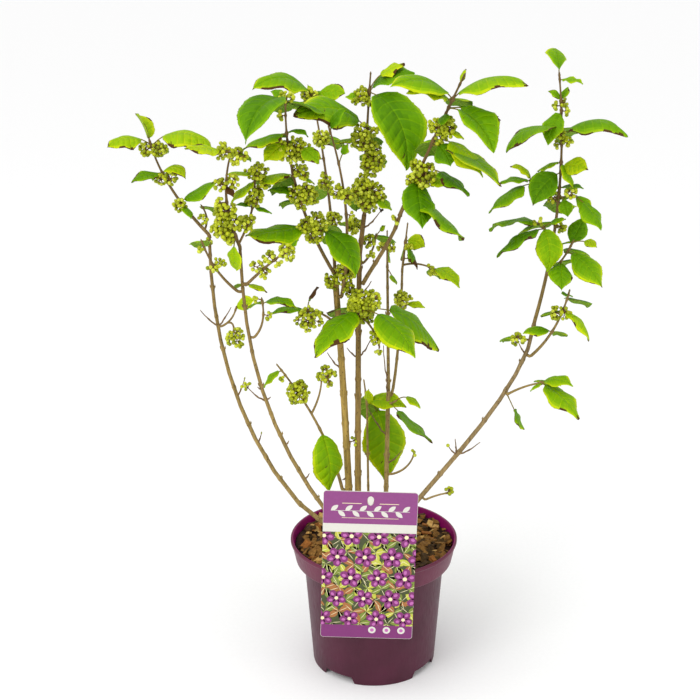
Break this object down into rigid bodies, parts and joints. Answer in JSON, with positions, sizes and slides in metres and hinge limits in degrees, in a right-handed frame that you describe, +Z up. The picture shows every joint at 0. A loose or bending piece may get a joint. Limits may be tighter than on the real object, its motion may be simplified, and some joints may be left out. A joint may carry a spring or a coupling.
{
  "type": "potted beautyberry shrub",
  "caption": "Young deciduous shrub with slender arching stems, opposite leaves and unripe berry clusters, standing in a plastic nursery pot with a hanging picture label.",
  "frame": {"origin": "centre of the pot's underside, on the ground it stands on", "axes": "+Z up along the pot's axis, -Y towards the side with the label, +X to the right as seen from the label's side"},
  "size_m": [0.491, 0.2793, 0.6203],
  "materials": {
    "pot": "satin",
    "compost": "matte",
    "label": "satin",
    "bark": "matte",
    "foliage": "matte"
  },
  "bodies": {
    "root": {"pot": "pot", "compost": "compost", "label": "label", "stem_a": "bark", "stem_b": "bark", "stem_c": "bark", "stem_d": "bark", "stem_e": "bark", "stem_f": "bark", "stem_g": "bark", "bough_d_right": "bark", "bough_e_left": "bark", "bough_e_right": "bark", "foliage_a_top": "foliage", "foliage_a_low": "foliage", "foliage_b_top": "foliage", "foliage_b_left": "foliage", "foliage_b_right": "foliage", "foliage_b_low": "foliage", "foliage_c_left": "foliage", "foliage_c_back": "foliage", "foliage_c_right": "foliage", "foliage_c_low": "foliage", "foliage_c_foot": "foliage", "foliage_d_top": "foliage", "foliage_d_left": "foliage", "foliage_d_inner": "foliage", "foliage_d_front": "foliage", "foliage_d_right": "foliage", "foliage_e_left": "foliage", "foliage_e_right": "foliage", "foliage_e_mid": "foliage", "foliage_e_low": "foliage", "foliage_e_foot": "foliage", "foliage_f": "foliage", "foliage_g_foot": "foliage", "foliage_g_mid": "foliage", "foliage_g_left": "foliage", "foliage_g_side": "foliage", "foliage_g_top": "foliage"}
  },
  "joints": []
}
